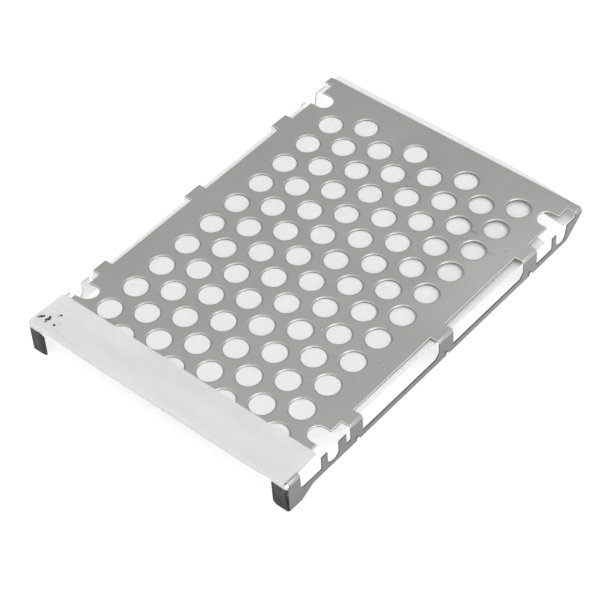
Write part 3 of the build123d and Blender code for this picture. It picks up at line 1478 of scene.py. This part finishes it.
@dataclass
class InsulatorFilm:
    """The film: a strip on the plate, folded loosely round its front edge and back under it."""

    finish: MilkyFilm = MilkyFilm()
    thickness: float = 0.15
    plate_top: float = PLATE_TOP
    plate_under: float = 7.75
    front_edge: float = FRONT_EDGE
    strip_rear: float = -40.05
    strip_half: float = 35.2
    strip_shift: float = -0.5
    strip_corner: float = 1.0
    sheet_half: float = 34.625
    rear_edge: float = 50.05
    notch_reach: float = 6.0
    notches: tuple[Point, ...] = ((-39.65, -32.95), (36.25, 42.95))
    fold_start: float = 0.1
    fold_reach: float = 0.42
    fold_radius: float = 0.5
    fold_bulge: float = 0.28
    bulge_half: float = 31.0
    bulge_blend: float = 6.0
    settle: float = 9.0
    sag: float = 2.2
    sag_start: float = -25.0
    sag_power: float = 1.3
    sag_spread: float = 5.0
    ripple: float = 0.06
    ripple_turns: Point = (0.21, 0.13)
    ripple_onset: float = 0.25
    corner_rows: tuple[float, ...] = (0.0, 0.008, 0.025, 0.05, 0.078, 0.105)
    strip_start: float = 0.15
    strip_rows: int = 14
    fold_rows: int = 14
    sheet_rows: int = 66
    edge_columns: int = 6
    middle_columns: int = 34
    shift_span: Point = (-41.0, -49.0)

    def fold_at(self, x: float) -> float:
        """Gives the radius of the loose fold at a place along the front edge.

        Args:
            x: the place.

        Returns:
            The radius, which is larger away from the corners.
        """
        inside = smooth_share((self.bulge_half - abs(x)) / self.bulge_blend)
        return self.fold_radius + self.fold_bulge * inside

    def sheet_height(self, x: float, y: float) -> float:
        """Gives the height of the lower sheet's middle.

        Args:
            x: place across the sheet.
            y: place along it.

        Returns:
            The height, which is lower towards the rear right, where the sheet hangs.
        """
        along = max(0.0, (y - self.sag_start) / (self.rear_edge - self.sag_start))
        across = min(1.0, max(0.0, (x + self.sheet_half) / (2 * self.sheet_half)))
        drop = self.sag * along**self.sag_power * across**self.sag_spread
        turn = x * self.ripple_turns[0] + y * self.ripple_turns[1]
        wave = self.ripple * (1 + math.sin(turn)) * min(1.0, along / self.ripple_onset)
        return self.plate_under - self.thickness / 2 - drop - wave

    def place(self, row: float, across: float) -> Vector:
        """Where a point of the film lies.

        Args:
            row: 0 to 1 on the strip, 1 to 2 round the fold and 2 to 3 under the plate.
            across: -1 at the left edge and 1 at the right edge.

        Returns:
            The point on the film's middle surface.
        """
        strip_z = self.plate_top + self.thickness / 2
        if row <= 1:
            centre, half = self.strip_shift, self.strip_half
        elif row < 2:
            share = row - 1
            centre = self.strip_shift * (1 - share)
            half = self.strip_half + (self.sheet_half - self.strip_half) * share
        else:
            centre, half = 0.0, self.sheet_half
        x = centre + across * half
        radius = self.fold_at(x)
        fold_y = self.front_edge + self.fold_start
        if row <= 1:
            y = self.strip_rear + (fold_y - self.strip_rear) * row
            back = self.strip_rear - y
            if back < self.strip_corner:
                inset = self.strip_corner - math.sqrt(
                    self.strip_corner**2 - (self.strip_corner - back) ** 2
                )
                x = centre + across * (half - inset)
            return Vector((x, y, strip_z))
        if row < 2:
            turn = math.pi * (row - 1)
            return Vector((
                x,
                fold_y - self.fold_reach * math.sin(turn),
                strip_z - radius * (1 - math.cos(turn)),
            ))
        y = fold_y + (self.rear_edge - fold_y) * (row - 2)
        share = smooth_share((y - fold_y) / self.settle)
        low = strip_z - 2 * radius
        return Vector((x, y, low + (self.sheet_height(x, y) - low) * share))

    def rows(self) -> list[float]:
        """Spaces the rows of the grid, with lines where corners round and notches end.

        Returns:
            Rows as the place method takes them, from the strip's rear edge on.
        """
        strip = [*self.corner_rows, *np.linspace(self.strip_start, 1.0, self.strip_rows)]
        fold = list(np.linspace(1.0, 2.0, self.fold_rows + 1))[1:]
        fold_y = self.front_edge + self.fold_start
        marks = [y for notch in self.notches for y in notch]
        breaks = [fold_y, *marks, self.rear_edge]
        under: list[float] = []
        span = self.rear_edge - fold_y
        for start, end in zip(breaks, breaks[1:]):
            count = max(2, round(self.sheet_rows * (end - start) / span))
            ys = np.linspace(start, end, count + 1)[1:]
            under += [2 + (y - fold_y) / span for y in ys]
        return strip + fold + under

    def build(self) -> bpy.types.Object:
        """Makes the film and dresses it.

        Returns:
            The finished piece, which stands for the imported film.
        """
        notch_line = (self.sheet_half - self.notch_reach) / self.sheet_half
        edge = list(np.linspace(notch_line, 1.0, self.edge_columns))
        middle = list(np.linspace(-notch_line, notch_line, self.middle_columns))
        across = [-value for value in reversed(edge)] + middle[1:-1] + edge
        rows = self.rows()
        shape = bmesh.new()
        grid = [[shape.verts.new(self.place(row, u)) for u in across] for row in rows]
        for row, (here, ahead) in enumerate(zip(grid, grid[1:])):
            for column in range(len(across) - 1):
                halfway = sum(rows[row:row + 2]) / 2, sum(across[column:column + 2]) / 2
                if rows[row] < 2 or not self.in_notch(self.place(*halfway)):
                    shape.faces.new((
                        here[column], ahead[column], ahead[column + 1], here[column + 1]
                    ))
        loose = [vertex for vertex in shape.verts if not vertex.link_faces]
        bmesh.ops.delete(shape, geom=loose, context="VERTS")
        piece = from_shape("film_sheet", shape)
        thick = piece.modifiers.new("thickness", "SOLIDIFY")
        thick.thickness = self.thickness
        thick.offset = 0.0
        piece = settled(piece, "film_sheet")
        piece.data.materials.append(self.finish.build())
        set_out_of_true(piece, *self.shift_span)
        finish_mesh(piece)
        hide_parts("insulator_film")
        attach(piece, "root")
        return piece

    def in_notch(self, place: Vector) -> bool:
        """Tells whether a place of the lower sheet lies in one of the film's notches."""
        aside = abs(place.x) > self.sheet_half - self.notch_reach
        return aside and any(start < place.y < end for start, end in self.notches)


@dataclass
class Studio:
    """Camera, floor and soft light."""

    sensor: float = 36.0
    focal_length: float = 126.587
    clip: Point = (0.01, 100.0)
    camera_place: Triple = (215.234, -230.509, 330.161)
    camera_target: Triple = (5.245, -10.522, 8.05)
    roll: float = -4.242
    floor_half: float = 4.0
    horizon: float = 0.68
    rise: float = 0.32
    front_gain: float = 0.3
    front_direction: Triple = (0.9, -0.436, 0.0)
    lamp_size: float = 0.5
    lamp_place: Triple = (0.4, 0.0, 0.54)
    lamp_power: float = 0.9
    floor: PaleFloor = PaleFloor()

    def add_camera(self) -> bpy.types.Object:
        """Sets the camera at the photograph's angle.

        Returns:
            The scene's camera.
        """
        data = bpy.data.cameras.new("camera")
        data.sensor_width = self.sensor
        data.lens = self.focal_length
        data.clip_start, data.clip_end = self.clip
        camera = bpy.data.objects.new("camera", data)
        bpy.context.scene.collection.objects.link(camera)
        place, target = Vector(self.camera_place), Vector(self.camera_target)
        aim = (target - place).to_track_quat("-Z", "Y").to_matrix()
        turned = aim @ Matrix.Rotation(math.radians(self.roll), 3, "Z")
        camera.matrix_world = Matrix.Translation(place * METRE) @ turned.to_4x4()
        bpy.context.scene.camera = camera
        return camera

    def add_floor(self) -> bpy.types.Object:
        """Lays the floor under the caddy's feet.

        Returns:
            The floor, which is no part of the caddy.
        """
        half = self.floor_half
        mesh = bpy.data.meshes.new("floor")
        mesh.from_pydata(
            [(-half, -half, 0), (half, -half, 0), (half, half, 0), (-half, half, 0)],
            [],
            [(0, 1, 2, 3)],
        )
        floor = link_mesh("floor", mesh)
        floor.data.materials.append(self.floor.build())
        return floor

    def add_light(self) -> None:
        """Lights the caddy from a soft dome, brighter above and in front, and one lamp."""
        world = bpy.data.worlds.new("studio")
        bpy.context.scene.world = world
        world.use_nodes = True
        bench = Bench(world.node_tree)
        sky = world.node_tree.nodes["Background"]
        sky.inputs["Color"].default_value = (1.0, 1.0, 1.0, 1.0)
        direction = bench.term("ShaderNodeTexCoord", "Generated")
        height = bench.term("ShaderNodeSeparateXYZ", "Z", sockets={0: direction}).larger(0.0)
        front = bench.number("DOT_PRODUCT", direction, self.front_direction)
        dome = height * height * self.rise + front * self.front_gain + self.horizon
        bench.feed(sky.inputs["Strength"], dome)
        data = bpy.data.lights.new("overhead", "AREA")
        data.shape = "DISK"
        data.size = self.lamp_size
        data.energy = self.lamp_power
        lamp = bpy.data.objects.new("overhead", data)
        place = Vector(self.lamp_place)
        lamp.location = place
        lamp.rotation_euler = place.to_track_quat("Z", "Y").to_euler()
        bpy.context.scene.collection.objects.link(lamp)

    def build(self) -> None:
        """Makes everything round the caddy."""
        self.add_camera()
        self.add_floor()
        self.add_light()
        bpy.context.scene.view_settings.view_transform = "Standard"


def main() -> None:
    """Builds the caddy and the studio, and reports each piece."""
    logging.basicConfig(level=logging.INFO, format="%(name)s: %(message)s")
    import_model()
    makers: tuple[Callable[[], bpy.types.Object], ...] = (
        FoldedFrame().build,
        InsulatorFilm().build,
    )
    for make in makers:
        piece = make()
        log.info("%s: %d faces", piece.name, len(piece.data.polygons))
    Studio().build()


if __name__ == "__main__":
    main()
